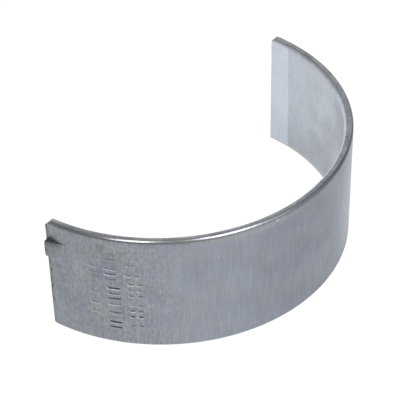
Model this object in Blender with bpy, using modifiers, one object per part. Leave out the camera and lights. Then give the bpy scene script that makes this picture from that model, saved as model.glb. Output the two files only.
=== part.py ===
# Half of a plain bearing for the big end of an engine's connecting rod: one thin steel-backed shell.
# It stands on its lower side face. Z runs along the journal's axis, the crown of the arc points to -Y
# and the open side to +Y. The origin lies at the middle of the bounding box's underside.

import math

import bmesh
import bpy

# Rod housing and the shell's own section
HOUSING_BORE = 0.05650        # bore of the closed housing that the two halves are pressed into
FREE_SPREAD = 0.00126         # how much larger the shell's outside diameter is before it is fitted
SHELL_WIDTH = 0.02015         # along the journal
WALL = 0.00148                # steel back and lining together

# Edge chamfers, all at 45 degrees
UPPER_BORE_CHAMFER = 0.00046  # wide one, on the side of the crank pin's fillet
LOWER_BORE_CHAMFER = 0.00015
UPPER_BACK_CHAMFER = 0.00028
LOWER_BACK_CHAMFER = 0.00038
TANG_END_CORNER = 0.00072     # corners between the side faces and the parting face at the tang
PLAIN_END_CORNER = 0.00030    # the same corners at the other parting face

# Crush relief, the shallow step in the bore beside each parting face
RELIEF_LENGTH = 0.00375
RELIEF_DEPTH = 0.00003

# Locating tang, sheared along its upper flank and pressed outwards beside one parting face
TANG_BELOW_TOP = 0.00310      # from the upper side face down to the tang's upper flank at the wall
TANG_CREST_WIDTH = 0.00250
TANG_RISE = 0.00085           # height of the crest above the back
TANG_LENGTH = 0.00320         # along the back, from the parting face to where the crest runs out
TANG_SET_BACK = 0.00020       # from the parting face to the tang's own end face
TANG_UPPER_LEAN = 0.18        # how far the sheared flank leans, sideways for each unit of height
TANG_LOWER_LEAN = 1.35        # how far the pressed flank leans
TANG_EDGE_ROUND = 0.00012
POCKET_DEPTH = 0.00075        # hollow that the punch left in the bore behind the tang

# Facets
STEPS_PER_TURN = 360
EDGE_ROUND_STEPS = 2
SHARP_EDGE = math.radians(20)

# Worked out from the sizes above
BACK_RADIUS = (HOUSING_BORE + FREE_SPREAD) / 2
BORE_RADIUS = BACK_RADIUS - WALL
ARC = math.pi * HOUSING_BORE / (2 * BACK_RADIUS)   # the back is as long as half the housing's bore
TANG_END_ANGLE = -math.pi / 2 - ARC / 2
PLAIN_END_ANGLE = -math.pi / 2 + ARC / 2
CUT_MARGIN = WALL                                  # how far every cutter reaches past what it cuts

PART_NAME = "engine_bearing_shell"


def new_collection(name):
    collection = bpy.data.collections.new(name)
    bpy.context.scene.collection.children.link(collection)
    return collection


def clear_scene():
    for obj in list(bpy.data.objects):
        bpy.data.objects.remove(obj)


def ground_steel():
    """Bare steel back, ground along the journal's axis."""
    material = bpy.data.materials.new("ground_steel")
    material.use_nodes = True
    shader = material.node_tree.nodes["Principled BSDF"]
    shader.inputs["Base Color"].default_value = (0.32, 0.33, 0.35, 1)
    shader.inputs["Roughness"].default_value = 0.42
    shader.inputs["Metallic"].default_value = 1.0
    return material


def add_object(name, mesh, collection, axis):
    """Link an object to its collection, placed from the journal's axis."""
    obj = bpy.data.objects.new(name, mesh)
    obj.parent = axis
    collection.objects.link(obj)
    return obj


def mark_cutter(obj):
    obj.hide_render = True
    obj.display_type = "WIRE"
    return obj


def closed_mesh(name, build):
    """A mesh filled in by build(bm), with its faces pointing out."""
    bm = bmesh.new()
    build(bm)
    bmesh.ops.recalc_face_normals(bm, faces=bm.faces)
    mesh = bpy.data.meshes.new(name)
    bm.to_mesh(mesh)
    bm.free()
    return mesh


def section_profile():
    """The wall's section as (radius, height), down the back and up the bore."""
    return [
        (BACK_RADIUS - UPPER_BACK_CHAMFER, SHELL_WIDTH),
        (BACK_RADIUS, SHELL_WIDTH - UPPER_BACK_CHAMFER),
        (BACK_RADIUS, LOWER_BACK_CHAMFER),
        (BACK_RADIUS - LOWER_BACK_CHAMFER, 0),
        (BORE_RADIUS + LOWER_BORE_CHAMFER, 0),
        (BORE_RADIUS, LOWER_BORE_CHAMFER),
        (BORE_RADIUS, SHELL_WIDTH - UPPER_BORE_CHAMFER),
        (BORE_RADIUS + UPPER_BORE_CHAMFER, SHELL_WIDTH),
    ]


def turned_ring(collection, axis):
    """The section turned once round the journal's axis."""
    points = [(radius, 0, height) for radius, height in section_profile()]
    edges = [(i, (i + 1) % len(points)) for i in range(len(points))]
    mesh = bpy.data.meshes.new("bearing_shell")
    mesh.from_pydata(points, edges, [])
    ring = add_object("bearing_shell", mesh, collection, axis)
    turn = ring.modifiers.new("turn", "SCREW")
    turn.axis = "Z"
    turn.angle = 2 * math.pi
    turn.steps = STEPS_PER_TURN
    turn.render_steps = STEPS_PER_TURN
    turn.use_merge_vertices = True
    turn.merge_threshold = 0.000005
    return ring


def pie_slice(name, radius, start, end, steps, collection, axis):
    """A slice of a disc between two angles, taller than the shell at both side faces."""
    def build(bm):
        angles = [start + (end - start) * i / steps for i in range(steps + 1)]
        rim = [(radius * math.cos(a), radius * math.sin(a)) for a in angles]
        floor = [bm.verts.new((x, y, -CUT_MARGIN)) for x, y in [(0, 0)] + rim]
        face = bm.faces.new(floor)
        grown = bmesh.ops.extrude_face_region(bm, geom=[face])["geom"]
        top = [v for v in grown if isinstance(v, bmesh.types.BMVert)]
        bmesh.ops.translate(bm, vec=(0, 0, SHELL_WIDTH + 2 * CUT_MARGIN), verts=top)
    return mark_cutter(add_object(name, closed_mesh(name, build), collection, axis))


def corner_prism(name, end_angle, into_wall, size, at_top, collection, axis):
    """A three-sided bar laid across the wall, which takes the corner off one end at one side face.

    Its own X runs outwards along the parting face, and into_wall says which way Y enters the wall.
    """
    reach = size + CUT_MARGIN
    edge = SHELL_WIDTH if at_top else 0
    outwards = 1 if at_top else -1
    triangle = [
        (-CUT_MARGIN, edge - outwards * reach),
        (reach, edge + outwards * CUT_MARGIN),
        (-CUT_MARGIN, edge + outwards * CUT_MARGIN),
    ]

    def build(bm):
        inner = BORE_RADIUS - CUT_MARGIN
        outer = BACK_RADIUS + TANG_RISE + CUT_MARGIN
        face = bm.faces.new([bm.verts.new((inner, into_wall * y, z)) for y, z in triangle])
        grown = bmesh.ops.extrude_face_region(bm, geom=[face])["geom"]
        far = [v for v in grown if isinstance(v, bmesh.types.BMVert)]
        bmesh.ops.translate(bm, vec=(outer - inner, 0, 0), verts=far)
    prism = add_object(name, closed_mesh(name, build), collection, axis)
    prism.rotation_euler.z = end_angle
    return mark_cutter(prism)


def pressed_wedge(name, wall_radius, rise, root, start, face, collection, axis):
    """The punched form of the tang: a wedge that is highest at the parting face.

    Its own X runs outwards along the parting face and Y along the wall, away from that face. The
    crest stands `rise` above a wall of `wall_radius` where Y is `face`, and runs out on the wall at
    the tang's length. The wedge starts at Y `start` and is rooted `root` below the wall.
    """
    run_angle = TANG_LENGTH / wall_radius
    run_drop = wall_radius * (1 - math.cos(run_angle))
    fall = (rise + run_drop) / (wall_radius * math.sin(run_angle) - face)
    crest_top = SHELL_WIDTH - TANG_BELOW_TOP - TANG_UPPER_LEAN * TANG_RISE
    crest_low = crest_top - TANG_CREST_WIDTH
    crest_x = wall_radius + rise + fall * (face - start)
    root_x = wall_radius - root
    height = crest_x - root_x
    tip_y = start + height / fall

    def build(bm):
        crest = [bm.verts.new((crest_x, start, z)) for z in (crest_top, crest_low)]
        roots = [bm.verts.new((root_x, start, crest_top + TANG_UPPER_LEAN * height)),
                 bm.verts.new((root_x, start, crest_low - TANG_LOWER_LEAN * height))]
        tip = [bm.verts.new((root_x, tip_y, z)) for z in (crest_top, crest_low)]
        bm.faces.new([crest[0], crest[1], roots[1], roots[0]])
        bm.faces.new([crest[0], crest[1], tip[1], tip[0]])
        bm.faces.new([roots[0], roots[1], tip[1], tip[0]])
        bm.faces.new([crest[0], roots[0], tip[0]])
        bm.faces.new([crest[1], roots[1], tip[1]])
        bmesh.ops.recalc_face_normals(bm, faces=bm.faces)
        rounded = [e for e in bm.edges if any(v in crest for v in e.verts)
                   and not any(v in roots for v in e.verts)]
        bmesh.ops.bevel(bm, geom=rounded, offset=TANG_EDGE_ROUND, offset_type="OFFSET",
                        segments=EDGE_ROUND_STEPS, profile=0.5, affect="EDGES")
    wedge = add_object(name, closed_mesh(name, build), collection, axis)
    wedge.rotation_euler.z = TANG_END_ANGLE
    return mark_cutter(wedge)


def combine(obj, other, operation):
    step = obj.modifiers.new(other.name, "BOOLEAN")
    step.object = other
    step.operation = operation
    step.solver = "EXACT"


def shell_cutters(collection, axis):
    """Everything that is taken off the turned ring, in the order of cutting."""
    opening = pie_slice("opening", 2 * BACK_RADIUS, PLAIN_END_ANGLE, TANG_END_ANGLE + 2 * math.pi,
                        16, collection, axis)
    relief_angle = RELIEF_LENGTH / BORE_RADIUS
    past_end = CUT_MARGIN / BORE_RADIUS
    relief_steps = 6
    relief_radius = BORE_RADIUS + RELIEF_DEPTH
    tang_relief = pie_slice("relief_tang_end", relief_radius, TANG_END_ANGLE - past_end,
                            TANG_END_ANGLE + relief_angle, relief_steps, collection, axis)
    plain_relief = pie_slice("relief_plain_end", relief_radius, PLAIN_END_ANGLE - relief_angle,
                             PLAIN_END_ANGLE + past_end, relief_steps, collection, axis)
    pocket = pressed_wedge("tang_pocket", BORE_RADIUS, POCKET_DEPTH, WALL, -CUT_MARGIN, 0,
                           collection, axis)
    corners = [
        corner_prism("corner_tang_upper", TANG_END_ANGLE, 1, TANG_END_CORNER, True, collection, axis),
        corner_prism("corner_tang_lower", TANG_END_ANGLE, 1, TANG_END_CORNER, False, collection, axis),
        corner_prism("corner_plain_upper", PLAIN_END_ANGLE, -1, PLAIN_END_CORNER, True, collection, axis),
        corner_prism("corner_plain_lower", PLAIN_END_ANGLE, -1, PLAIN_END_CORNER, False, collection, axis),
    ]
    return [opening, tang_relief, plain_relief, pocket] + corners


def journal_axis():
    """An empty on the journal's axis, set so that the origin is at the middle of the underside."""
    end_x = BACK_RADIUS * math.cos(PLAIN_END_ANGLE)
    crest = BACK_RADIUS + TANG_RISE
    tang_x = crest * math.cos(TANG_END_ANGLE) - TANG_SET_BACK * math.sin(TANG_END_ANGLE)
    open_side_y = BORE_RADIUS * math.sin(PLAIN_END_ANGLE)
    axis = bpy.data.objects.new("journal_axis", None)
    axis.location = (-(end_x + tang_x) / 2, (BACK_RADIUS - open_side_y) / 2, 0)
    bpy.context.scene.collection.objects.link(axis)
    return axis


def bearing_shell(parts, cutters, axis):
    shell = turned_ring(parts, axis)
    tang = pressed_wedge("tang", BACK_RADIUS, TANG_RISE, WALL / 3, TANG_SET_BACK, TANG_SET_BACK,
                         cutters, axis)
    combine(shell, tang, "UNION")
    for cutter in shell_cutters(cutters, axis):
        combine(shell, cutter, "DIFFERENCE")
    shell.data.materials.append(ground_steel())
    return shell


def keep_result(shell):
    """Turn the modifiers' result into the shell's own mesh, smooth round the arc, sharp at edges."""
    bpy.context.view_layer.update()
    evaluated = shell.evaluated_get(bpy.context.evaluated_depsgraph_get())
    mesh = bpy.data.meshes.new_from_object(evaluated)
    shell.modifiers.clear()
    shell.data = mesh
    mesh.name = shell.name
    mesh.shade_smooth()
    mesh.set_sharp_from_angle(angle=SHARP_EDGE)


def main():
    clear_scene()
    parts = new_collection(PART_NAME)
    cutters = new_collection(PART_NAME + "_cutters")
    axis = journal_axis()
    shell = bearing_shell(parts, cutters, axis)
    keep_result(shell)


main()
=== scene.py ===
# One half of a rod's plain bearing: the finished look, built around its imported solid.
# Strip coordinates are used all over: arc runs along the strip from the tang's end, height up its width.
import math
import random

import bmesh
import bpy
import numpy as np
from mathutils import Matrix, Vector


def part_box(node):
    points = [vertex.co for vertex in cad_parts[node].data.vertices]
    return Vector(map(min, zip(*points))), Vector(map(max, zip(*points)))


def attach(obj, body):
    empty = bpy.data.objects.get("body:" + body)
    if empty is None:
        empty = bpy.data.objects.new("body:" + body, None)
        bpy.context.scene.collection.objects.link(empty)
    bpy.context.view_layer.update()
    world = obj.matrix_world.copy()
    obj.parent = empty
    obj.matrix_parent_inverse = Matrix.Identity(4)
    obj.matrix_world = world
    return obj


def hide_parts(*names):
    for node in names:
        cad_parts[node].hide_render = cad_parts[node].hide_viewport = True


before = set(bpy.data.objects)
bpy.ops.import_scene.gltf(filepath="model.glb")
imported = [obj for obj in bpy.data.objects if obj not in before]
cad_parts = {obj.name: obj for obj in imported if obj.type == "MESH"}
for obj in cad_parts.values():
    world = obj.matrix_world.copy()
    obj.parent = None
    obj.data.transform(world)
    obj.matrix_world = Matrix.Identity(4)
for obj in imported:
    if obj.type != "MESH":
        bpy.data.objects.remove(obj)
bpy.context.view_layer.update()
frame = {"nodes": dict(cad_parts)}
nodeLow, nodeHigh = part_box("bearing_shell")
mm = 0.001
print("frame loaded:", ", ".join(frame["nodes"]))


# sizes of the strip
shell = {
    "housingBore": 56.50 * mm,
    "freeSpread": 1.26 * mm,
    "width": 20.15 * mm,
    "wall": 1.48 * mm,
    "upperBoreChamfer": 0.46 * mm,
    "lowerBoreChamfer": 0.15 * mm,
    "upperBackChamfer": 0.28 * mm,
    "lowerBackChamfer": 0.38 * mm,
    # the tumbled edge that takes the upper back chamfer's place: how far each of its
    # corners lies inwards from the back and down from the side
    "tumbledEdge": [(0, 0.38 * mm), (0.10 * mm, 0.20 * mm), (0.36 * mm, 0)],
    "lessTumbled": (46 * mm, 60 * mm, 0.62),    # it shrinks between these arcs, by this factor
    "tangEndCorner": 0.72 * mm,
    "plainEndCorner": 0.30 * mm,
    "cornerBlend": 0.05 * mm,
    "endRound": 0.045 * mm,         # worn edges round the parting faces
    # worn corners of the upper side, from the back inwards: how far each reaches along its two faces
    "upperRounds": [(0.36 * mm, 0.10 * mm), (0.09 * mm, 0.09 * mm), (0.08 * mm, 0.08 * mm),
                    (0.16 * mm, 0.30 * mm), (0.33 * mm, 0.45 * mm)],
    "lowerRound": 0.05 * mm,
    "roundSteps": 6,
    "sharpFrom": 38,                # degrees between two faces that keep their edge sharp
}
relief = {
    "length": 3.75 * mm,            # beside each parting face
    "depth": 0.03 * mm,
    "step": 0.10 * mm,              # how far the step between the two depths reaches
    "lean": 0.20 * mm,              # the edge of the relief isn't quite parallel to the journal
    "leanReach": 1.2 * mm,
}
tang = {
    "belowTop": 3.10 * mm,
    "crestWidth": 2.50 * mm,
    "rise": 0.85 * mm,
    "length": 3.20 * mm,
    "setBack": 0.20 * mm,
    "upperLean": 0.18,
    "lowerLean": 1.35,
    "pocketDepth": 0.75 * mm,
    "crestRound": 0.12 * mm,
    "shearedFoot": 0.02 * mm,       # blend at the foot of the sheared flank
    "pressedFoot": 0.22 * mm,       # blend at the foot of the pressed flank and the run-out
    "sinkDepth": 0.022 * mm,        # the strip is drawn in a little above the sheared flank,
    "sinkAbove": 0.5 * mm,          # deepest this far above the crest
    "sinkUp": 0.7 * mm,
    "sinkAlong": 3.0 * mm,
    "rollDepth": 0.070 * mm,        # shearing rolled the crest's upper edge over
    "rollReach": 0.50 * mm,
    "wornCrest": 0.008 * mm,
    "cleanFaceOver": 0.1 * mm,      # how far above the crest its end face is cleanly cut
}

backRadius = (shell["housingBore"] + shell["freeSpread"]) / 2
boreRadius = backRadius - shell["wall"]
arcAngle = math.pi * shell["housingBore"] / (2 * backRadius)
tangEndAngle = -math.pi / 2 - arcAngle / 2
plainEndAngle = -math.pi / 2 + arcAngle / 2
arcLength = backRadius * arcAngle
axisX = nodeHigh.x - backRadius * math.cos(plainEndAngle)
axisY = nodeLow.y + backRadius


def smoothMax(a, b, reach):
    return np.maximum(a, b) + np.maximum(reach - np.abs(a - b), 0) ** 2 / (4 * reach)


def smoothMin(a, b, reach):
    return -smoothMax(-a, -b, reach)


def smoothStep(x):
    x = np.clip(x, 0, 1)
    return x * x * (3 - 2 * x)


# the tang and its pocket
crestTop = shell["width"] - tang["belowTop"] - tang["upperLean"] * tang["rise"]
crestLow = crestTop - tang["crestWidth"]


def crestHeight(wallRadius, rise, face, turn):
    # straight crest line over a round wall: highest at the face, level with the wall at the tang's length
    runAngle = tang["length"] / wallRadius
    runDrop = wallRadius * (1 - math.cos(runAngle))
    fall = (rise + runDrop) / (wallRadius * math.sin(runAngle) - face)
    start = wallRadius + rise + fall * face
    turn = np.minimum(turn, 4 * runAngle)      # further on it stays below the wall
    return start / (np.cos(turn) + fall * np.sin(turn)) - wallRadius


def wedgeHeight(wallRadius, rise, face, turn, z, rollDepth=0):
    crest = crestHeight(wallRadius, rise, face, turn) - tang["wornCrest"]
    nearEdge = np.clip(1 - (crestTop - z) / tang["rollReach"], 0, 1)
    crest = crest - rollDepth * nearEdge ** 2 * np.clip(crest / rise, 0, 1)
    sheared = crest - (z - crestTop) / tang["upperLean"]
    pressed = crest - (crestLow - z) / tang["lowerLean"]
    height = smoothMin(crest, pressed, tang["crestRound"])
    height = smoothMin(height, sheared, tang["crestRound"])
    foot = np.where(z > crestTop, tang["shearedFoot"], tang["pressedFoot"])
    lifted = smoothMax(height, 0 * height, foot)
    return np.where(height < -foot, 0, lifted)


def faceRound(arc, height):
    # the tang's own end face stands back from the parting face, with a worn edge round it
    past = np.clip((arc - tang["setBack"]) / tang["crestRound"], 0, 1)
    lost = 1 - np.sqrt(1 - (1 - past) ** 2)
    return np.where(arc <= tang["setBack"], 0, height - np.minimum(height, tang["crestRound"]) * lost)


# plain inspection marks in the back
marks = {
    # arc, top and bottom of each row, kind of stroke, spacing, share of the full depth
    "rows": [
        (7.5 * mm, 14.6 * mm, 5.0 * mm, "short", 1.05 * mm, 0.60),
        (10.1 * mm, 17.3 * mm, 12.0 * mm, "bars", 1.05 * mm, 0.65),
        (10.5 * mm, 10.9 * mm, 2.4 * mm, "bars", 1.00 * mm, 1.0),
        (13.4 * mm, 18.0 * mm, 13.0 * mm, "pairs", 1.25 * mm, 0.70),
        (13.7 * mm, 12.0 * mm, 3.2 * mm, "pairs", 1.10 * mm, 1.0),
    ],
    "groups": (2, 4),               # strokes between two gaps
    "gap": 0.70 * mm,
    # shortest and longest stroke of each kind
    "bars": (1.50 * mm, 1.80 * mm),
    "short": (0.825 * mm, 1.08 * mm),
    "pairs": (0.40 * mm, 0.55 * mm),
    "apart": 0.62 * mm,             # of a pair, to either side of its row
    "pairDepth": (0.6, 1),          # share of its row's depth for each stroke of a pair
    "uneven": (0.94, 1.06),         # share of the spacing
    "lean": 3.5,                    # the most a stroke leans, in degrees
    "halfWidth": 0.16 * mm,
    "depth": 0.11 * mm,
    "faint": 0.35,                  # depth of the faintest stroke, as a share of its row's
    "lip": (0.12, 0.60),            # height of the raised edge, as a share of the depth
    "lipSide": (-0.45, -0.89),      # the stamp leaned, so the lip is on one side of each stroke
    # in half widths from the middle of a stroke
    "lipFrom": 0.9,
    "lipTop": 1.45,
    "lipSpread": 0.5,
    "reach": 3,
    "seed": 5,
}


def markStrokes():
    dice = random.Random(marks["seed"])
    strokes = []

    def press(arc, z, kind, depth):
        half = dice.uniform(*marks[kind]) / 2
        lean = math.radians(dice.uniform(-marks["lean"], marks["lean"]))
        da, dz = half * math.cos(lean), half * math.sin(lean)
        strokes.append((arc - da, z - dz, arc + da, z + dz, depth, dice.uniform(*marks["lip"])))

    for arc, top, bottom, kind, spacing, share in marks["rows"]:
        z, left = top, dice.randint(*marks["groups"])
        while z > bottom:
            depth = marks["depth"] * share * dice.uniform(marks["faint"], 1)
            if kind == "pairs":
                for side in (-1, 1):
                    strokeDepth = depth * dice.uniform(*marks["pairDepth"])
                    press(arc + side * marks["apart"], z, kind, strokeDepth)
            else:
                press(arc, z, kind, depth)
            z -= spacing * dice.uniform(*marks["uneven"])
            left -= 1
            if left == 0:
                z, left = z - marks["gap"], dice.randint(*marks["groups"])
    return strokes


def markRelief(arc, z):
    total = np.zeros_like(arc)
    halfWidth = marks["halfWidth"]
    sideArc, sideHeight = marks["lipSide"]
    reach = marks["reach"] * halfWidth
    for a0, z0, a1, z1, depth, lipShare in markStrokes():
        near = np.abs(arc - (a0 + a1) / 2) < abs(a1 - a0) / 2 + reach
        near &= np.abs(z - (z0 + z1) / 2) < abs(z1 - z0) / 2 + reach
        if not near.any():
            continue
        da, dz = a1 - a0, z1 - z0
        t = np.clip(((arc[near] - a0) * da + (z[near] - z0) * dz) / (da * da + dz * dz), 0, 1)
        offArc, offHeight = arc[near] - a0 - t * da, z[near] - z0 - t * dz
        gap = np.hypot(offArc, offHeight) / halfWidth
        groove = -depth * np.clip(1 - gap ** 2, 0, 1)
        farEnough = np.maximum(gap, marks["lipFrom"])
        side = (offArc * sideArc + offHeight * sideHeight) / (halfWidth * farEnough)
        lip = np.exp(-((gap - marks["lipTop"]) / marks["lipSpread"]) ** 2) * np.clip(side, 0, 1)
        total[near] += groove + np.where(gap > marks["lipFrom"], lipShare * depth * lip, 0)
    return total


# rows and columns of the mesh
grid = {
    # rows of each band, from the lower chamfer up: they follow the tang, then spread evenly
    "backCounts": [120, 5, 6, 4, 20, 5, 3, 1, 24],
    "boreCounts": [16, 3, 5, 3, 6, 4, 3, 1, 6],
    "shearedBand": 6,               # which band lies on the sheared flank
    "tangZone": 3.5 * mm,
    "spreadZone": 6.4 * mm,
    # where bands meet, measured from the feet and edges of the tang
    "leastFoot": (0.40 * mm, 0.05 * mm),
    "aroundLowFoot": (0.25 * mm, 0.15 * mm),
    "aroundLowEdge": 0.12 * mm,
    "aroundHighEdge": (0.10 * mm, 0.01 * mm),
    "aboveHighFoot": 0.05 * mm,
    # columns: shares of the worn end edge and of the crest's own, then arcs
    "endShares": [0, 0.15, 0.5, 1],
    "crestShares": [0, 0.01, 0.15, 0.4, 0.7, 1],
    "besideEnd": [0.1 * mm, 0.15 * mm],
    "alongTang": (0.40, 3.45, 0.085),       # start, end and step in mm
    "pastTang": [3.55 * mm, 3.7 * mm, 4.25 * mm, 4.55 * mm, 4.85 * mm, 5.1 * mm, 5.35 * mm],
    "markZone": (5.6 * mm, 15.6 * mm),
    "fineStep": 0.11 * mm,
    "stepGrowth": 1.25,
    "coarseStep": 1.0 * mm,
    "beforeRelief": (1.2 * mm, 0.5 * mm),   # where wide steps end, and the last column
    "beforePlainEnd": [3.3, 2.6, 1.9, 1.3, 0.9, 0.6, 0.42, 0.36, 0.30, 0.24, 0.18, 0.12, 0.08],
}


def columnArcs():
    ends = [share * shell["endRound"] for share in grid["endShares"]]
    arcs = ends + [arcLength - arc for arc in ends]
    arcs += grid["besideEnd"] + grid["pastTang"]
    arcs += [tang["setBack"] + tang["crestRound"] * share for share in grid["crestShares"]]
    arcs += list(np.arange(*grid["alongTang"]) * mm)
    arcs += list(np.arange(*grid["markZone"], grid["fineStep"]))
    stepAt = relief["length"] * backRadius / boreRadius
    farStep = arcLength - stepAt
    for middle in (stepAt, farStep):
        arcs += [middle - relief["step"] / 2, middle, middle + relief["step"] / 2]
    wideEnd, last = grid["beforeRelief"]
    step, at = grid["fineStep"], grid["markZone"][1]
    while at < farStep - wideEnd:
        arcs.append(at)
        step = min(step * grid["stepGrowth"], grid["coarseStep"])
        at += step
    arcs.append(farStep - last)
    arcs += list(arcLength - np.array(grid["beforePlainEnd"]) * mm)
    return np.array(sorted(arcs))


def rowHeights(arc, low, high, counts, wallRadius, rise, face):
    # rows lie along the feet and edges of the tang where it is, and evenly beyond it
    turn = max(arc, face) / backRadius
    crest = max(float(crestHeight(wallRadius, rise, face, turn)), 0)
    lowFoot = crestLow - max(tang["lowerLean"] * crest, grid["leastFoot"][0])
    highFoot = crestTop + max(tang["upperLean"] * crest, grid["leastFoot"][1])
    belowFoot, aboveFoot = grid["aroundLowFoot"]
    belowEdge, aboveEdge = grid["aroundHighEdge"]
    bends = [low, lowFoot - belowFoot, lowFoot + aboveFoot,
             crestLow - grid["aroundLowEdge"], crestLow + grid["aroundLowEdge"],
             crestTop - belowEdge, crestTop + aboveEdge, highFoot, highFoot + grid["aboveHighFoot"], high]
    follow = np.concatenate([np.linspace(bends[i], bends[i + 1], n, endpoint=False)
                             for i, n in enumerate(counts)] + [[high]])
    even = np.linspace(low, high, len(follow))
    spread = float(smoothStep((arc - grid["tangZone"]) / (grid["spreadZone"] - grid["tangZone"])))
    return follow * (1 - spread) + even * spread


def roundedCorner(before, corner, after, reaches):
    # a short curve in place of one corner of the section
    b, c, a = (np.array(p) for p in (before, corner, after))
    start = c + (b - c) / np.linalg.norm(b - c) * reaches[0]
    end = c + (a - c) / np.linalg.norm(a - c) * reaches[1]
    steps = np.linspace(0, 1, shell["roundSteps"] + 1)
    return [tuple((1 - t) ** 2 * start + 2 * t * (1 - t) * c + t ** 2 * end) for t in steps]


def sectionLoop(arc):
    # closed loop of (radius, height, zone) at one place along the strip, up the back and down the bore
    width = shell["width"]
    fromEnd = arcLength - arc
    topCut = float(smoothMax(shell["tangEndCorner"] - arc, 0, shell["cornerBlend"])
                   + smoothMax(shell["plainEndCorner"] - fromEnd, 0, shell["cornerBlend"]))
    high, low = width - topCut, topCut
    start, end, least = shell["lessTumbled"]
    tumbled = 1 + (least - 1) * float(smoothStep((arc - start) / (end - start)))
    corners = [(backRadius, 0)]
    corners += [(backRadius - inwards * tumbled, width - down * tumbled)
                for inwards, down in shell["tumbledEdge"]]
    corners += [
        (boreRadius + shell["upperBoreChamfer"], width),
        (boreRadius, width - shell["upperBoreChamfer"]), (boreRadius, shell["lowerBoreChamfer"]),
        (boreRadius + shell["lowerBoreChamfer"], 0), (backRadius - shell["lowerBackChamfer"], 0),
        (backRadius, shell["lowerBackChamfer"]), (backRadius, width),
    ]
    reaches = [(before * tumbled, after * tumbled) for before, after in shell["upperRounds"][:3]]
    reaches += shell["upperRounds"][3:] + [(shell["lowerRound"], shell["lowerRound"])] * 4
    # rounded corners: 0 to 2 of the tumbled edge, 3 and 4 of the upper bore chamfer,
    # 5 and 6 of the lower one, 7 and 8 of the lower back chamfer
    turns = [roundedCorner(*corners[i:i + 3], reach) for i, reach in enumerate(reaches)]
    half = shell["roundSteps"] // 2

    def clipped(points, zone):
        return [(r, min(max(z, low), high), zone) for r, z in points]

    backRows = rowHeights(arc, max(turns[8][-1][1], low), min(turns[0][0][1], high),
                          grid["backCounts"], backRadius, tang["rise"], tang["setBack"])
    boreRows = rowHeights(arc, max(turns[5][0][1], low), min(turns[4][-1][1], high),
                          grid["boreCounts"], boreRadius, tang["pocketDepth"], 0)
    loop = [(backRadius, z, "back") for z in backRows]
    loop += clipped(turns[0][1:] + turns[1][:half], "back")
    loop += clipped(turns[1][half:] + turns[2][:half], "backChamfer")
    loop += clipped(turns[2][half:] + turns[3][:half], "side")
    loop += clipped(turns[3][half:] + turns[4][:half], "boreChamfer")
    loop += clipped(turns[4][half:-1], "bore")
    loop += [(boreRadius, z, "bore") for z in boreRows[::-1]]
    loop += clipped(turns[5][1:] + turns[6][:-1], "boreChamfer")
    loop += clipped(turns[6][-1:] + turns[7][:1], "side")
    loop += clipped(turns[7][1:] + turns[8][:-1], "backChamfer")
    return loop


def endInset(arc):
    # worn edges round each parting face draw the section in
    edge = shell["endRound"]
    near = min(arc, arcLength - arc)
    return edge - math.sqrt(max(edge ** 2 - max(edge - near, 0) ** 2, 0)) if near < edge else 0


def shellPoints():
    arcs = columnArcs()
    loops = [sectionLoop(arc) for arc in arcs]
    radius = np.array([[p[0] for p in loop] for loop in loops])
    z = np.array([[p[1] for p in loop] for loop in loops])
    zones = [p[2] for p in loops[0]]
    arc = np.repeat(arcs[:, None], radius.shape[1], axis=1)
    turn = arc / backRadius
    isBack = np.array([zone == "back" for zone in zones])
    isBore = np.array([zone == "bore" for zone in zones])
    wedge = wedgeHeight(backRadius, tang["rise"], tang["setBack"], turn, z, tang["rollDepth"])
    sinkUp = (z - crestTop - tang["sinkAbove"]) / tang["sinkUp"]
    sink = -tang["sinkDepth"] * np.exp(-sinkUp ** 2 - (arc / tang["sinkAlong"]) ** 2)
    sink = sink * (z > crestTop + tang["upperLean"] * tang["rise"] / 2)
    radius = radius + np.where(isBack, faceRound(arc, wedge) + sink + markRelief(arc, z), 0)
    pocket = wedgeHeight(boreRadius, tang["pocketDepth"], 0, turn, z)
    stepArc = relief["length"] * backRadius / boreRadius
    fromEnd = np.minimum(arc, arcLength - arc)
    reliefShare = 1 - smoothStep((fromEnd - stepArc) / relief["step"] + 0.5)
    radius = radius + np.where(isBore, np.maximum(pocket, relief["depth"] * reliefShare), 0)
    inset = np.array([endInset(a) for a in arcs])[:, None]
    midRadius, midZ = (backRadius + boreRadius) / 2, shell["width"] / 2
    radius = midRadius + (radius - midRadius) * (1 - inset / (shell["wall"] / 2))
    z = midZ + (z - midZ) * (1 - inset / midZ)
    # the relief's edge leans: its columns shift along the arc, one way at each end
    window = np.exp(-((fromEnd - stepArc) / relief["leanReach"]) ** 2)
    shift = relief["lean"] * (1 - 2 * z / shell["width"]) * window * np.where(arc > arcLength / 2, -1, 1)
    angle = tangEndAngle + turn + np.where(isBore, shift / backRadius, 0)
    points = np.stack([axisX + radius * np.cos(angle), axisY + radius * np.sin(angle), z], axis=2)
    return arcs, points, zones


def faceMaterial(zone, nextZone, arcMiddle):
    # zones meet in the rounded edges, which belong to the chamfer beside them
    pair = {zone, nextZone}
    if pair == {"back"}:
        return "groundBack"
    if pair == {"bore"}:
        fromEnd = min(arcMiddle, arcLength - arcMiddle) * boreRadius / backRadius
        return "reliefLining" if fromEnd < relief["length"] else "boreLining"
    if "backChamfer" in pair:
        return "turnedChamfer"
    if "boreChamfer" in pair:
        return "boreChamfer"
    return "cutFace"


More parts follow.
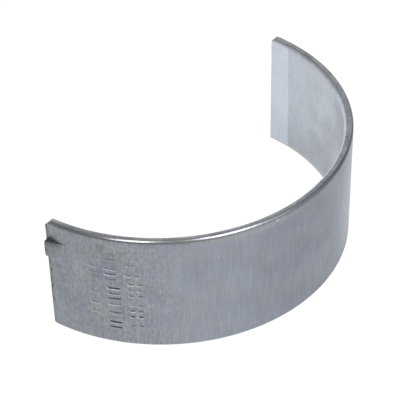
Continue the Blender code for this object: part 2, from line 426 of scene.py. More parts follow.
def buildShell(materials):
    materialOrder = list(materials)
    arcs, points, zones = shellPoints()
    columns, stations = points.shape[:2]
    flat = points.reshape(-1, 3)
    faces, slots = [], []
    backRows = sum(grid["backCounts"])
    shearedStart = sum(grid["backCounts"][:grid["shearedBand"]])
    shearedRows = range(shearedStart, shearedStart + grid["backCounts"][grid["shearedBand"]])
    faceLow = crestLow - tang["lowerLean"] * tang["rise"]
    faceHigh = crestTop + tang["cleanFaceOver"]
    for i in range(columns - 1):
        middle = (arcs[i] + arcs[i + 1]) / 2
        for k in range(stations):
            n = (k + 1) % stations
            here, there = i * stations, (i + 1) * stations
            faces.append((here + k, there + k, there + n, here + n))
            name = faceMaterial(zones[k], zones[n], middle)
            if k in shearedRows and tang["setBack"] <= arcs[i] < tang["length"]:
                name = "shearedFlank"
            if arcs[i] == tang["setBack"] and k < backRows and faceLow < points[i, k, 2] < faceHigh:
                name = "cutFace"
            slots.append(materialOrder.index(name))
    capStart = len(faces)
    faces.append(tuple(range(stations)))
    faces.append(tuple((columns - 1) * stations + k for k in reversed(range(stations))))
    slots += [materialOrder.index("cutFace")] * 2
    mesh = bpy.data.meshes.new("bearingShell")
    mesh.from_pydata(flat.tolist(), [], faces)
    mesh.polygons.foreach_set("material_index", slots)
    bm = bmesh.new()
    bm.from_mesh(mesh)
    bm.faces.ensure_lookup_table()
    bmesh.ops.triangulate(bm, faces=bm.faces[capStart:], ngon_method="EAR_CLIP")
    bmesh.ops.recalc_face_normals(bm, faces=bm.faces)
    bm.to_mesh(mesh)
    bm.free()
    for material in materials.values():
        mesh.materials.append(material)
    mesh.shade_smooth()
    mesh.set_sharp_from_angle(angle=math.radians(shell["sharpFrom"]))
    piece = bpy.data.objects.new("bearingShell", mesh)
    bpy.context.scene.collection.objects.link(piece)
    even = piece.modifiers.new("evenShading", "WEIGHTED_NORMAL")
    even.mode = "FACE_AREA"
    even.keep_sharp = True
    print("shell built:", columns, "columns,", stations, "stations,", len(mesh.polygons), "faces")
    return piece


# node helpers
def addNode(tree, kind, **settings):
    node = tree.nodes.new(kind)
    for key, value in settings.items():
        setattr(node, key, value)
    return node


def feed(tree, target, source):
    if isinstance(source, bpy.types.NodeSocket):
        tree.links.new(source, target)
    else:
        target.default_value = source


def mathNode(tree, operation, *sources):
    node = addNode(tree, "ShaderNodeMath", operation=operation)
    for target, source in zip(node.inputs, sources):
        feed(tree, target, source)
    return node.outputs[0]


def mapRange(tree, value, fromLow, fromHigh, toLow, toHigh, smooth=False):
    node = addNode(tree, "ShaderNodeMapRange", clamp=True)
    if smooth:
        node.interpolation_type = "SMOOTHSTEP"
    for target, source in zip(node.inputs, (value, fromLow, fromHigh, toLow, toHigh)):
        feed(tree, target, source)
    return node.outputs[0]


def combine(tree, x, y, z):
    node = addNode(tree, "ShaderNodeCombineXYZ")
    for target, source in zip(node.inputs, (x, y, z)):
        feed(tree, target, source)
    return node.outputs[0]


def scaled(tree, vector, factor):
    node = addNode(tree, "ShaderNodeVectorMath", operation="SCALE")
    feed(tree, node.inputs[0], vector)
    feed(tree, node.inputs["Scale"], factor)
    return node.outputs[0]


def noise(tree, vector, scale, detail, roughness=0.5):
    node = addNode(tree, "ShaderNodeTexNoise", noise_dimensions="3D")
    feed(tree, node.inputs["Vector"], vector)
    node.inputs["Scale"].default_value = scale
    node.inputs["Detail"].default_value = detail
    node.inputs["Roughness"].default_value = roughness
    return node.outputs["Fac"]


def blend(tree, factor, first, second):
    node = addNode(tree, "ShaderNodeMix", data_type="RGBA")
    feed(tree, node.inputs[0], factor)
    # the colour sockets of a mix node come after those for numbers and vectors
    for target, source in ((node.inputs[6], first), (node.inputs[7], second)):
        feed(tree, target, source if isinstance(source, bpy.types.NodeSocket) else (*source, 1))
    return node.outputs[2]


def swing(tree, value, contrast):
    # a value round 0.5 turned into a change round 0
    return mathNode(tree, "MULTIPLY", mathNode(tree, "SUBTRACT", value, 0.5), contrast)


def newGroup(name, inputs, outputs):
    group = bpy.data.node_groups.new(name, "ShaderNodeTree")
    for label, default in inputs:
        socket = group.interface.new_socket(name=label, in_out="INPUT", socket_type="NodeSocketFloat")
        socket.default_value = default
    for label in outputs:
        group.interface.new_socket(name=label, in_out="OUTPUT", socket_type="NodeSocketFloat")
    start = addNode(group, "NodeGroupInput")
    end = addNode(group, "NodeGroupOutput")
    return group, start.outputs, end.inputs


def placeGroup(tree, group, **values):
    node = addNode(tree, "ShaderNodeGroup", node_tree=group)
    for key, value in values.items():
        feed(tree, node.inputs[key], value)
    return node.outputs


# effects shared by the finishes; a spread is the two noise values that become 0 and 1
effectLook = {
    "fineLines": (3.1, 1.7),        # how much finer than the broad ones, across and along
    "lineSpread": (0.25, 0.75),
    "cloudSpread": (0.30, 0.70),
    "hueSize": 0.26,
    "hueSpread": (0.33, 0.67),
    "mottleSize": (2.6, 1.05, 1.6),     # per mm along the arc, up and outwards: it follows the grinding
    "mottleSpread": (0.30, 0.70),
    "nickSizes": (0.5, 1.2),        # shares of the finish's own size
    "scuffs": ((0.45, 3), (-0.8, 11)),  # slant of each direction, and its place in the noise
    "scuffSize": (4.5, 0.55),       # per mm across and along
    "scuffSpread": (0.66, 0.76),
    "wornSize": 0.8,
    "wornSpread": (0.35, 0.65),
    "wornReach": (0.4, 1.8),        # shares of the finish's own reach
    "patchRagged": 0.5,             # how much the clouds bend a patch's edge
    "patchEdge": (0.2, 1.1),        # shares of a patch's reach, from full to nothing
}


def stripCoordinates():
    # millimetres along the arc from the tang's end, up the width, and out from the back's radius
    group, _, out = newGroup("stripCoordinates", [], ["Arc", "Height", "Depth"])
    where = addNode(group, "ShaderNodeTexCoord").outputs["Object"]
    split = addNode(group, "ShaderNodeSeparateXYZ")
    feed(group, split.inputs[0], where)
    x = mathNode(group, "SUBTRACT", split.outputs[0], axisX)
    y = mathNode(group, "SUBTRACT", split.outputs[1], axisY)
    angle = mathNode(group, "ARCTAN2", y, x)
    turn = mathNode(group, "SUBTRACT", angle, tangEndAngle)
    feed(group, out["Arc"], mathNode(group, "MULTIPLY", turn, backRadius / mm))
    feed(group, out["Height"], mathNode(group, "DIVIDE", split.outputs[2], mm))
    xx = mathNode(group, "MULTIPLY", x, x)
    yy = mathNode(group, "MULTIPLY", y, y)
    radius = mathNode(group, "SQRT", mathNode(group, "ADD", xx, yy))
    depth = mathNode(group, "SUBTRACT", radius, backRadius)
    feed(group, out["Depth"], mathNode(group, "DIVIDE", depth, mm))
    return group


def toolLines():
    # fine scratches that a grinding belt or a turning tool leaves, in two widths
    inputs = [("Across", 0), ("Along", 0), ("Pitch", 0.2), ("Length", 6)]
    group, given, out = newGroup("toolLines", inputs, ["Lines", "Fine"])
    across = mathNode(group, "DIVIDE", given["Across"], given["Pitch"])
    along = mathNode(group, "DIVIDE", given["Along"], given["Length"])
    broad = noise(group, combine(group, across, along, 0), 1, 2, 0.6)
    fineAcross, fineAlong = effectLook["fineLines"]
    fine = noise(group, combine(group, mathNode(group, "MULTIPLY", across, fineAcross),
                                mathNode(group, "MULTIPLY", along, fineAlong), 4), 1, 1)
    feed(group, out["Lines"], mapRange(group, broad, *effectLook["lineSpread"], 0, 1))
    feed(group, out["Fine"], mapRange(group, fine, *effectLook["lineSpread"], 0, 1))
    return group


def handling():
    # cloudy stains, mottle, and tiny bright nicks and scuffs from handling
    inputs = [("Arc", 0), ("Height", 0), ("Depth", 0), ("Cloud Size", 4),
              ("Nick Spacing", 3), ("Nick Size", 0.1), ("Nick Pick", 0.5)]
    group, given, out = newGroup("handling", inputs, ["Clouds", "Mottle", "Hue", "Nicks", "Scuffs"])
    arc, height, depth = given["Arc"], given["Height"], given["Depth"]
    place = combine(group, arc, height, depth)
    clouds = noise(group, scaled(group, place, mathNode(group, "DIVIDE", 1, given["Cloud Size"])), 1, 3)
    feed(group, out["Clouds"], mapRange(group, clouds, *effectLook["cloudSpread"], 0, 1))
    hue = noise(group, place, effectLook["hueSize"], 3)
    feed(group, out["Hue"], mapRange(group, hue, *effectLook["hueSpread"], 0, 1))
    drawn = addNode(group, "ShaderNodeVectorMath", operation="MULTIPLY")
    feed(group, drawn.inputs[0], place)
    drawn.inputs[1].default_value = effectLook["mottleSize"]
    mottle = noise(group, drawn.outputs[0], 1, 4, 0.65)
    feed(group, out["Mottle"], mapRange(group, mottle, *effectLook["mottleSpread"], 0, 1))
    # nicks: a dot in some of the cells
    cells = combine(group, arc, mathNode(group, "ADD", height, depth), 0)
    cells = scaled(group, cells, mathNode(group, "DIVIDE", 1, given["Nick Spacing"]))
    dots = addNode(group, "ShaderNodeTexVoronoi", voronoi_dimensions="2D")
    feed(group, dots.inputs["Vector"], cells)
    dots.inputs["Scale"].default_value = 1
    chance = addNode(group, "ShaderNodeSeparateXYZ")
    feed(group, chance.inputs[0], dots.outputs["Color"])
    limit = mathNode(group, "DIVIDE", given["Nick Size"], given["Nick Spacing"])
    size = mapRange(group, chance.outputs[1], 0, 1, *effectLook["nickSizes"])
    limit = mathNode(group, "MULTIPLY", limit, size)
    inside = mathNode(group, "LESS_THAN", dots.outputs["Distance"], limit)
    picked = mathNode(group, "GREATER_THAN", chance.outputs[0], given["Nick Pick"])
    feed(group, out["Nicks"], mathNode(group, "MULTIPLY", inside, picked))
    # sparse thin scuffs in slanting directions
    acrossSize, alongSize = effectLook["scuffSize"]
    scuffs = []
    for slant, shift in effectLook["scuffs"]:
        along = mathNode(group, "ADD", height, mathNode(group, "MULTIPLY", arc, slant))
        across = mathNode(group, "SUBTRACT", arc, mathNode(group, "MULTIPLY", height, slant))
        along = mathNode(group, "MULTIPLY", along, alongSize)
        across = mathNode(group, "MULTIPLY", across, acrossSize)
        streaks = noise(group, combine(group, across, along, shift), 1, 2, 0.6)
        scuffs.append(mapRange(group, streaks, *effectLook["scuffSpread"], 0, 1))
    feed(group, out["Scuffs"], mathNode(group, "MAXIMUM", *scuffs))
    return group


def edgeWear():
    # worn brighter metal along the rims of the strip, broken up by noise
    group, given, out = newGroup("edgeWear", [("Arc", 0), ("Height", 0), ("Reach", 0.4)], ["Wear"])
    down = mathNode(group, "SUBTRACT", shell["width"] / mm, given["Height"])
    rim = mathNode(group, "MINIMUM", down, given["Height"])
    place = combine(group, given["Arc"], given["Height"], 0)
    ragged = noise(group, place, effectLook["wornSize"], 4, 0.6)
    ragged = mapRange(group, ragged, *effectLook["wornSpread"], *effectLook["wornReach"])
    reach = mathNode(group, "MULTIPLY", given["Reach"], ragged)
    rim = mathNode(group, "SUBTRACT", rim, shell["upperBackChamfer"] / mm)
    share = mathNode(group, "DIVIDE", rim, reach)
    feed(group, out["Wear"], mapRange(group, share, 0, 1, 1, 0, True))
    return group


def softPatch():
    # a patch with a ragged soft edge, as strong as its share in the middle
    inputs = [("Arc", 0), ("Height", 0), ("Clouds", 0.5), ("At Arc", 0), ("At Height", 0),
              ("Arc Reach", 1), ("Height Reach", 1), ("Share", 1)]
    group, given, out = newGroup("softPatch", inputs, ["Patch"])
    a = mathNode(group, "SUBTRACT", given["Arc"], given["At Arc"])
    h = mathNode(group, "SUBTRACT", given["Height"], given["At Height"])
    a = mathNode(group, "DIVIDE", a, given["Arc Reach"])
    h = mathNode(group, "DIVIDE", h, given["Height Reach"])
    far = mathNode(group, "ADD", mathNode(group, "MULTIPLY", a, a), mathNode(group, "MULTIPLY", h, h))
    far = mathNode(group, "SQRT", far)
    ragged = mathNode(group, "ADD", far, swing(group, given["Clouds"], effectLook["patchRagged"]))
    feed(group, out["Patch"], mapRange(group, ragged, *effectLook["patchEdge"], given["Share"], 0, True))
    return group


effects = {
    "strip": stripCoordinates(),
    "lines": toolLines(),
    "handling": handling(),
    "wear": edgeWear(),
    "patch": softPatch(),
}

# finishes: cool and warm are the two tints of the clean metal, and contrasts are shares of its
# brightness; lengths are in mm, axial lines run up the width, and the far mottle is a share of the
# mottle beside the tang; what a finish doesn't name it doesn't have
turnedMetal = {
    "axial": False, "nick": (0.75, 0.75, 0.76), "nickSpacing": 2.2, "nickSize": 0.07, "nickPick": 0.65,
    "bumpDepth": 0.005 * mm,
}
# in each finish, the darker colour towards the tang's end, with its reach and share, is painted shade
# broken up by the mottle
finishes = {
    "groundBack": {
        "cool": (0.289, 0.314, 0.371), "warm": (0.310, 0.323, 0.335), "roughness": (0.36, 0.46),
        "axial": True, "pitch": 0.34, "length": 6, "cloud": 4.2,
        "lineContrast": 0.26, "cloudContrast": 0.11, "mottleContrast": 0.44, "mottleFar": 0.20,
        "endShade": (0.150, 0.152, 0.158), "endShadeReach": 16, "endShadeShare": 0.13,
        "nick": (0.54, 0.56, 0.60), "nickSpacing": 4.4, "nickSize": 0.085, "nickPick": 0.66,
        "wear": (0.34, 0.35, 0.365), "wearReach": 0.4, "wearShare": 0.1,
        "bump": 0.35, "bumpDepth": 0.006 * mm, "scuff": 0.16,
    },
    "turnedChamfer": {
        **turnedMetal,
        "cool": (0.44, 0.46, 0.49), "warm": (0.46, 0.46, 0.47), "roughness": (0.15, 0.22),
        "pitch": 0.10, "length": 9, "cloud": 2.4,
        "lineContrast": 0.30, "cloudContrast": 0.25, "mottleContrast": 0.40, "mottleFar": 0.6,
        "endShade": (0.26, 0.26, 0.27), "endShadeReach": 16, "endShadeShare": 0.15,
        "bump": 0.15, "scuff": 0.10,
    },
    "cutFace": {
        **turnedMetal,
        "cool": (0.466, 0.490, 0.532), "warm": (0.49, 0.49, 0.49), "roughness": (0.26, 0.36),
        "pitch": 0.12, "length": 8, "cloud": 3.0,
        "lineContrast": 0.30, "cloudContrast": 0.25, "mottleContrast": 0.40, "mottleFar": 0.6,
        "endShade": (0.30, 0.30, 0.31), "endShadeReach": 12, "endShadeShare": 0.15,
        "bump": 0.15, "scuff": 0.10,
    },
    "boreLining": {
        "cool": (0.472, 0.509, 0.566), "warm": (0.474, 0.504, 0.536), "roughness": (0.30, 0.38),
        "axial": True, "pitch": 0.40, "length": 7, "cloud": 3.6,
        "lineContrast": 0.11, "cloudContrast": 0.08, "mottleContrast": 0.13, "mottleFar": 1.0,
        "nick": (0.66, 0.69, 0.72), "nickSpacing": 3.4, "nickSize": 0.09, "nickPick": 0.6,
        "wear": (0.46, 0.485, 0.490), "wearReach": 1.1, "wearShare": 0.6, "lowerShade": 0.80,
        "bump": 0.2, "bumpDepth": 0.004 * mm, "scuff": 0.08,
    },
    "reliefLining": {
        "cool": (0.558, 0.604, 0.676), "warm": (0.561, 0.602, 0.658), "roughness": (0.30, 0.38),
        "axial": True, "pitch": 0.36, "length": 7, "cloud": 2.6,
        "lineContrast": 0.07, "cloudContrast": 0.05, "mottleContrast": 0.10, "mottleFar": 1.0,
        "nick": (0.70, 0.73, 0.77), "nickSpacing": 3, "nickSize": 0.08, "nickPick": 0.6,
        "wear": (0.58, 0.61, 0.65), "wearReach": 0.2, "wearShare": 0.4, "lowerShade": 0.90,
        "bump": 0.2, "bumpDepth": 0.004 * mm, "scuff": 0.06,
    },
    "boreChamfer": {
        **turnedMetal,
        "cool": (0.525, 0.560, 0.628), "warm": (0.54, 0.56, 0.60), "roughness": (0.22, 0.32),
        "pitch": 0.10, "length": 9, "cloud": 3.0,
        "lineContrast": 0.22, "cloudContrast": 0.12, "mottleContrast": 0.22, "mottleFar": 1.0,
        "endShade": (0.34, 0.35, 0.36), "endShadeReach": 12, "endShadeShare": 0.1,
        "bump": 0.2, "scuff": 0.08,
    },
    "shearedFlank": {
        "cool": (0.182, 0.184, 0.190), "warm": (0.197, 0.195, 0.190), "roughness": (0.45, 0.60),
        "axial": True, "pitch": 0.15, "length": 0.9, "cloud": 0.8,
        "lineContrast": 0.8, "cloudContrast": 0.4, "mottleContrast": 0.6, "mottleFar": 1.0,
        "endShade": (0.100, 0.100, 0.100), "endShadeReach": 4, "endShadeShare": 0.4,
        "nick": (0.4, 0.4, 0.4), "nickSpacing": 1, "nickSize": 0.05, "nickPick": 0.6,
        "bump": 0.6, "bumpDepth": 0.02 * mm,
    },
}
# soft patches of painted light and shade, with a few dark smudges among them: painted highlights and
# glints along the upper edges, and lighter and darker stretches of back, rims and bore; arc, height,
# reach along each in mm, and share
paintedLightAndSmudges = {
    "groundBack": [
        (2.0, 9.0, 2.4, 4.6, -0.07), (1.5, 12.2, 1.1, 0.9, -0.22), (4.9, 13.4, 1.5, 3.2, 0.07),
        (8.8, 18.4, 0.9, 0.9, -0.16), (7.4, 16.6, 3.2, 2.6, -0.05), (7.6, 13.0, 1.7, 1.7, -0.10),
        (8.8, 19.91, 6.5, 0.12, 0.60), (31.0, 19.91, 9.5, 0.12, 0.35), (33.3, 19.4, 8.0, 1.1, 0.14),
        (35.1, 19.50, 0.34, 0.34, 0.60), (35.1, 18.90, 0.5, 0.3, -0.14),
        (56.5, 11.0, 8.0, 14.0, 0.19), (50.0, 0.6, 8.0, 1.8, -0.08),
    ],
    "turnedChamfer": [
        (8.8, 19.93, 6.5, 0.08, 0.80), (34.0, 19.93, 6.0, 0.08, 0.28),
        (40.4, 20.02, 3.2, 0.20, -0.28), (32.2, 20.02, 2.6, 0.20, -0.18),
    ],
    "cutFace": [
        (0.6, 20.1, 3.2, 2.0, 0.22), (50.9, 20.1, 3.5, 2.0, -0.12), (88.2, 20.1, 3.6, 2.0, 0.10),
    ],
    "boreLining": [(65.0, 14.0, 7.0, 9.0, -0.07), (71.5, 7.0, 8.0, 8.0, -0.14)],
    "boreChamfer": [
        (75.5, 20.1, 9.0, 0.65, -0.21), (88.4, 20.15, 4.2, 0.5, 0.20),
        (88.6, 20.12, 4.0, 0.16, 0.30), (81.0, 20.1, 7.0, 0.65, 0.05),
    ],
}
# and patches where the tint turns warmer
warmPatches = {
    "groundBack": [(1.0, 18.6, 2.8, 2.6, 0.9), (26.5, 19.5, 7.5, 1.2, 1.0), (13.0, 19.6, 8.0, 0.9, 0.5)],
    "turnedChamfer": [(80.0, 20.0, 12.0, 3.0, 0.9)],
    "cutFace": [(17.0, 20.1, 13.0, 3.0, 0.75), (81.0, 20.1, 11.0, 3.0, 0.7)],
    "boreChamfer": [(80.0, 20.1, 10.0, 1.0, 0.8)],
}
# changes along and up the strip, as start, end, value at the start and value at the end
changes = {
    "pressedEnd": (14, 22),             # arcs over which the mottle turns into the far one
    "warmTint": (12, 30, 1, 0.4),       # along the arc
    # painted shade: the linings darken towards their lower edge, over these heights
    "lowerShade": (0, 10),               # heights
    # painted shade just under the back's upper edge
    "rimPaintedShade": (19.3, 19.9, 0, -0.10),  # the back darkens towards its upper edge
    # painted light and shade along the back's arc: darker at the tang's end and further on, lighter
    # between
    "backPaintedLight": [(0, 5, 0, -0.06), (15, 19, 0, 0.07), (28, 37, 0, -0.12)],     # along the arc
    "shine": (0.85, 1.15),              # from which to which brightness the roughness changes
    "lineShares": (0.6, 0.4),           # of the broad and the fine tool lines
}
# what only the back has: its depths are in mm out of the round back
tangTint = {"colour": (0.230, 0.231, 0.238), "depths": (0.08, 0.25), "share": 0.7}
crestShade = {"colour": (0.10, 0.10, 0.105), "reach": 1.2, "share": 0.95}       # under its rolled edge
# painted shade in the grooves of the pressed marks, darker the deeper they are
groove = {"colour": (0.10, 0.10, 0.105), "depths": (-0.010, -0.080), "share": 0.90}
# painted highlight on the raised lips beside the marks, on one side of each stroke
lip = {"colour": (0.62, 0.63, 0.66), "depths": (0.004, 0.016), "share": 0.90, "fromArc": (4.5, 5.5)}
# painted shade beside the tang's end, broken up by the mottle
tangEndShade = {
    "colour": (0.10, 0.095, 0.09), "reach": 0.80, "share": 1.8,     # beside the tang's end
    "mottle": (0.45, 0.62),             # it sits where the mottle is between these values
    "heights": (3, 6), "lowShare": 0.3,
}


def backDetails(tree, colour, arc, height, depth, mottle):
    # the tang's own tint, its shaded edge, painted shade in the pressed marks' grooves with painted
    # highlights on their lips, and painted shade beside the tang's end
    onTang = mapRange(tree, depth, *tangTint["depths"], 0, tangTint["share"])
    colour = blend(tree, onTang, colour, tangTint["colour"])
    edge = crestTop / mm
    rolled = mapRange(tree, height, edge - crestShade["reach"], edge, 0, crestShade["share"], True)
    colour = blend(tree, mathNode(tree, "MULTIPLY", rolled, onTang), colour, crestShade["colour"])
    # painted shade in the marks' grooves
    grooveShadeShare = mapRange(tree, depth, *groove["depths"], 0, groove["share"])
    colour = blend(tree, grooveShadeShare, colour, groove["colour"])
    # painted highlight on the marks' lips
    lipHighlight = mapRange(tree, depth, *lip["depths"], 0, lip["share"])
    lipHighlight = mathNode(tree, "MULTIPLY", lipHighlight, mapRange(tree, arc, *lip["fromArc"], 0, 1))
    colour = blend(tree, lipHighlight, colour, lip["colour"])
    # painted shade beside the tang's end
    atEnd = mapRange(tree, arc, 0, tangEndShade["reach"], tangEndShade["share"], 0)
    atEnd = mathNode(tree, "MULTIPLY", atEnd, mapRange(tree, mottle, *tangEndShade["mottle"], 0, 1))
    higher = mapRange(tree, height, *tangEndShade["heights"], tangEndShade["lowShare"], 1)
    atEnd = mathNode(tree, "MULTIPLY", atEnd, higher)
    return blend(tree, atEnd, colour, tangEndShade["colour"])


def metalFinish(name):
    look = finishes[name]
    material = bpy.data.materials.new(name)
    material.use_nodes = True
    tree = material.node_tree
    shader = tree.nodes["Principled BSDF"]
    strip = placeGroup(tree, effects["strip"])
    arc, height, depth = strip["Arc"], strip["Height"], strip["Depth"]
    across, along = (arc, height) if look["axial"] else (mathNode(tree, "ADD", height, depth), arc)
    lines = placeGroup(tree, effects["lines"], Across=across, Along=along,
                       Pitch=look["pitch"], Length=look["length"])
    dirt = placeGroup(tree, effects["handling"], **{
        "Arc": arc, "Height": height, "Depth": depth, "Cloud Size": look["cloud"],
        "Nick Spacing": look["nickSpacing"], "Nick Size": look["nickSize"],
        "Nick Pick": look["nickPick"]})

    def patchOf(atArc, atHeight, arcReach, heightReach, share):
        return placeGroup(tree, effects["patch"], **{
            "Arc": arc, "Height": height, "Clouds": dirt["Clouds"],
            "At Arc": atArc, "At Height": atHeight,
            "Arc Reach": arcReach, "Height Reach": heightReach, "Share": share})["Patch"]

    # brightness: tool lines, clouds, and a mottle that is stronger where the strip was pressed
    broad, fine = changes["lineShares"]
    lineTone = mathNode(tree, "ADD", mathNode(tree, "MULTIPLY", lines["Lines"], broad),
                        mathNode(tree, "MULTIPLY", lines["Fine"], fine))
    nearMottle, farMottle = look["mottleContrast"], look["mottleContrast"] * look["mottleFar"]
    pressed = mapRange(tree, arc, *changes["pressedEnd"], nearMottle, farMottle)
    tone = mathNode(tree, "ADD", swing(tree, lineTone, look["lineContrast"]),
                    swing(tree, dirt["Clouds"], look["cloudContrast"]))
    tone = mathNode(tree, "ADD", tone, swing(tree, dirt["Mottle"], pressed))
    tone = mathNode(tree, "ADD", tone, 1)
    # painted shade: the lining darkens towards its lower edge
    if "lowerShade" in look:
        lower = mapRange(tree, height, *changes["lowerShade"], look["lowerShade"], 1, True)
        tone = mathNode(tree, "MULTIPLY", tone, lower)
    # painted light and shade along the back and under its upper edge
    if name == "groundBack":
        for change in changes["backPaintedLight"]:
            tone = mathNode(tree, "ADD", tone, mapRange(tree, arc, *change, True))
        tone = mathNode(tree, "ADD", tone, mapRange(tree, height, *changes["rimPaintedShade"], True))
    # patches of painted light and shade, and a few smudges
    for patch in paintedLightAndSmudges.get(name, []):
        tone = mathNode(tree, "ADD", tone, patchOf(*patch))
    warmShare = mathNode(tree, "MULTIPLY", dirt["Hue"], mapRange(tree, arc, *changes["warmTint"]))
    for patch in warmPatches.get(name, []):
        warmShare = mathNode(tree, "MAXIMUM", warmShare, patchOf(*patch))
    colour = scaled(tree, blend(tree, warmShare, look["cool"], look["warm"]), tone)
    # painted shade: darker towards the tang's end, broken up by the mottle
    if "endShade" in look:
        endShaded = mapRange(tree, arc, 0, look["endShadeReach"], look["endShadeShare"] * 2, 0, True)
        colour = blend(tree, mathNode(tree, "MULTIPLY", endShaded, dirt["Mottle"]), colour, look["endShade"])
    if name == "groundBack":
        colour = backDetails(tree, colour, arc, height, depth, dirt["Mottle"])
    if "wear" in look:
        worn = placeGroup(tree, effects["wear"], Arc=arc, Height=height, Reach=look["wearReach"])
        worn = mathNode(tree, "MULTIPLY", worn["Wear"], look["wearShare"])
        colour = blend(tree, worn, colour, look["wear"])
    if "scuff" in look:
        scuffed = mathNode(tree, "MULTIPLY", dirt["Scuffs"], look["scuff"])
        colour = blend(tree, scuffed, colour, look["nick"])
    colour = blend(tree, dirt["Nicks"], colour, look["nick"])
    feed(tree, shader.inputs["Base Color"], colour)
    shader.inputs["Metallic"].default_value = 1.0
    smoothest, roughest = look["roughness"]
    roughness = mapRange(tree, tone, *changes["shine"], roughest, smoothest)
    feed(tree, shader.inputs["Roughness"], roughness)
    bump = addNode(tree, "ShaderNodeBump")
    bump.inputs["Strength"].default_value = look["bump"]
    bump.inputs["Distance"].default_value = look["bumpDepth"]
    feed(tree, bump.inputs["Height"], mathNode(tree, "ADD", lineTone, dirt["Mottle"]))
    feed(tree, shader.inputs["Normal"], bump.outputs[0])
    return material


materials = {name: metalFinish(name) for name in finishes}
print("finishes made:", ", ".join(materials))

bearingShell = buildShell(materials)
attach(bearingShell, "root")
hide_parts("bearing_shell")

# floor, light and camera: the studio is in metres and degrees
studio = {
    "floorRadius": 4.0,
    "floorDrop": 0.02 * mm,         # it lies just below the shell's lower side
    "floorGlow": 0.945,             # what camera and metal see of the floor, before lamps add to it
    "floorColour": (0.16, 0.16, 0.16),
    "backdrop": {"radius": 1.2, "from": 12, "to": 118, "height": 0.28, "steps": 40},
    "dim": (0.23, 0.235, 0.24),     # the studio round the object, away from its lit side
    # sides that glow: azimuth and elevation, colour, and how far from straight at them, as the
    # cosines where the glow starts and where it is full
    "lit": ((112, -20), (0.70, 0.71, 0.72), (0.30, 0.60)),
    "low": ((-97, 12), (0.93, 0.94, 0.96), (0.45, 0.98)),
    "overhead": ((0, 90), (0.40, 0.405, 0.41), (0.75, 1)),
    "softboxes": {                  # azimuth, elevation, distance, width, height, brightness
        "softboxLeft": (-170, 61.5, 0.60, 0.14, 0.24, 2.8),
        "softboxFront": (-94, 58, 0.60, 0.235, 0.24, 2.8),
        "softboxRear": (37, 38, 0.60, 0.24, 0.16, 0.55),
    },
}
camera = {
    "target": (3.60984 * mm, 10.77055 * mm, 3.96548 * mm),
    "distance": 256.05541 * mm,
    "azimuth": -142.391,            # of the camera, seen from the target
    "elevation": 39.335,
    "roll": -1.3707,
    "lens": 144.913,
    "sensor": 36.0,
    "clip": (0.01, 20),
}


def direction(azimuth, elevation):
    a, e = math.radians(azimuth), math.radians(elevation)
    return Vector((math.cos(e) * math.cos(a), math.cos(e) * math.sin(a), math.sin(e)))


def seenDirectly(tree):
    # 1 for the camera and for what metal and glass show, 0 for light on the object;
    # then the same for the camera alone
    path = addNode(tree, "ShaderNodeLightPath").outputs
    mirrored = mathNode(tree, "MAXIMUM", path["Is Glossy Ray"], path["Is Transmission Ray"])
    return mathNode(tree, "MAXIMUM", path["Is Camera Ray"], mirrored), path["Is Camera Ray"]


def paleFloor():
    material = bpy.data.materials.new("paleFloor")
    material.use_nodes = True
    tree = material.node_tree
    shader = tree.nodes["Principled BSDF"]
    shader.inputs["Base Color"].default_value = (*studio["floorColour"], 1)
    shader.inputs["Roughness"].default_value = 1.0
    shader.inputs["Specular IOR Level"].default_value = 0.0
    shader.inputs["Emission Color"].default_value = (1, 1, 1, 1)
    seen, _ = seenDirectly(tree)
    glow = mathNode(tree, "MULTIPLY", seen, studio["floorGlow"])
    feed(tree, shader.inputs["Emission Strength"], glow)
    return material


def stagePiece(name, material, fill):
    bm = bmesh.new()
    fill(bm)
    mesh = bpy.data.meshes.new(name)
    bm.to_mesh(mesh)
    bm.free()
    mesh.materials.append(material)
    piece = bpy.data.objects.new(name, mesh)
    bpy.context.scene.collection.objects.link(piece)
    return piece


def buildFloor():
    material = paleFloor()
    wall = studio["backdrop"]

    def disc(bm):
        bmesh.ops.create_circle(bm, cap_ends=True, segments=96, radius=studio["floorRadius"])

    def arcWall(bm):
        turns = np.radians(np.linspace(wall["from"], wall["to"], wall["steps"] + 1))
        feet = [bm.verts.new((wall["radius"] * math.cos(t), wall["radius"] * math.sin(t), 0))
                for t in turns]
        tops = [bm.verts.new((v.co.x, v.co.y, wall["height"])) for v in feet]
        for i in range(wall["steps"]):
            bm.faces.new((feet[i], feet[i + 1], tops[i + 1], tops[i]))

    floor = stagePiece("studioFloor", material, disc)
    floor.location.z = -studio["floorDrop"]
    stagePiece("studioBackdrop", material, arcWall)


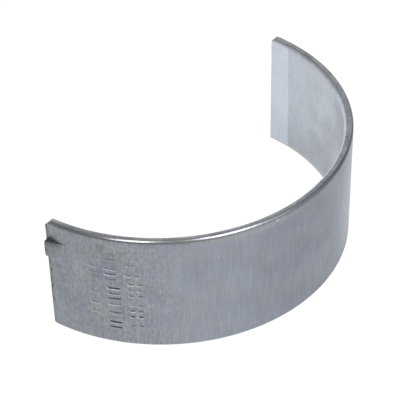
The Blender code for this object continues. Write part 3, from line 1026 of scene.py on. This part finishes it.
def buildLight():
    world = bpy.data.worlds.new("studioWorld")
    world.use_nodes = True
    tree = world.node_tree
    background = tree.nodes["Background"]
    _, cameraRay = seenDirectly(tree)
    looking = addNode(tree, "ShaderNodeTexCoord").outputs["Generated"]
    around = studio["dim"]
    for side, smooth in (("lit", True), ("low", False), ("overhead", True)):
        towards, colour, cosines = studio[side]
        facing = addNode(tree, "ShaderNodeVectorMath", operation="DOT_PRODUCT")
        feed(tree, facing.inputs[0], looking)
        feed(tree, facing.inputs[1], direction(*towards))
        share = mapRange(tree, facing.outputs["Value"], *cosines, 0, 1, smooth)
        around = blend(tree, share, around, colour)
    feed(tree, background.inputs["Color"], blend(tree, cameraRay, around, (1, 1, 1)))
    bpy.context.scene.world = world
    centre = Vector(camera["target"])
    for name, (azimuth, elevation, distance, width, height, brightness) in studio["softboxes"].items():
        lamp = bpy.data.lights.new(name, "AREA")
        lamp.shape = "RECTANGLE"
        lamp.size, lamp.size_y = width, height
        lamp.energy = brightness * math.pi * width * height
        holder = bpy.data.objects.new(name, lamp)
        holder.location = centre + direction(azimuth, elevation) * distance
        holder.rotation_euler = direction(azimuth, elevation).to_track_quat("Z", "Y").to_euler()
        holder.visible_camera = False
        bpy.context.scene.collection.objects.link(holder)


def buildCamera():
    away = direction(camera["azimuth"], camera["elevation"])
    right = Vector((-away.y, away.x, 0)).normalized()
    up = away.cross(right)
    roll = math.radians(camera["roll"])
    turnedRight = right * math.cos(roll) + up * math.sin(roll)
    turnedUp = up * math.cos(roll) - right * math.sin(roll)
    data = bpy.data.cameras.new("camera")
    data.sensor_width = camera["sensor"]
    data.lens = camera["lens"]
    data.clip_start, data.clip_end = camera["clip"]
    holder = bpy.data.objects.new("camera", data)
    place = Matrix((turnedRight, turnedUp, away)).transposed().to_4x4()
    place.translation = Vector(camera["target"]) + away * camera["distance"]
    holder.matrix_world = place
    bpy.context.scene.collection.objects.link(holder)
    bpy.context.scene.camera = holder


buildFloor()
buildLight()
buildCamera()
bpy.context.scene.view_settings.view_transform = "Standard"
print("studio ready")
